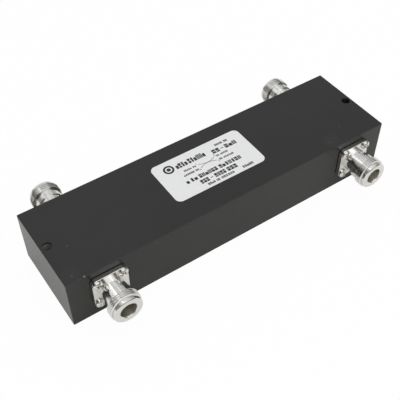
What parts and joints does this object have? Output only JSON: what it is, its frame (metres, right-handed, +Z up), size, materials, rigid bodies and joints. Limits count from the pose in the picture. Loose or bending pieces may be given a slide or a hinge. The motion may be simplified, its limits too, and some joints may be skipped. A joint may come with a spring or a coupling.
{
  "type": "hybrid coupler",
  "caption": "Black milled block with a white top label and threaded coaxial jacks on both long sides, dividing a radio signal between its ports.",
  "frame": {"origin": "middle of the underside", "axes": "+X along the length, +Y across the width towards the back pair of jacks, +Z up, out of the labelled face"},
  "size_m": [0.185, 0.0856, 0.0302],
  "materials": {
    "black_anodised": "satin",
    "black_steel": "satin",
    "label_film": "matte",
    "nickel_steel": "polished",
    "nickel_plate": "polished",
    "gasket_rubber": "matte",
    "white_insulator": "matte",
    "gold_plate": "polished",
    "silver_plate": "satin"
  },
  "bodies": {
    "root": {"housing": "black_anodised", "cover_plate": "black_anodised", "cover_screws": "black_steel", "label": "label_film", "flange_screws": "nickel_steel", "upper_line": "silver_plate", "lower_line": "silver_plate", "jack_shell_front_left": "nickel_plate", "gasket_front_left": "gasket_rubber", "insulator_front_left": "white_insulator", "contact_front_left": "gold_plate", "jack_shell_front_right": "nickel_plate", "gasket_front_right": "gasket_rubber", "insulator_front_right": "white_insulator", "contact_front_right": "gold_plate", "jack_shell_back_left": "nickel_plate", "gasket_back_left": "gasket_rubber", "insulator_back_left": "white_insulator", "contact_back_left": "gold_plate", "jack_shell_back_right": "nickel_plate", "gasket_back_right": "gasket_rubber", "insulator_back_right": "white_insulator", "contact_back_right": "gold_plate", "comb_front_left": "white_insulator", "comb_front_middle": "white_insulator", "comb_front_right": "white_insulator", "comb_back_left": "white_insulator", "comb_back_middle": "white_insulator", "comb_back_right": "white_insulator"}
  },
  "joints": []
}
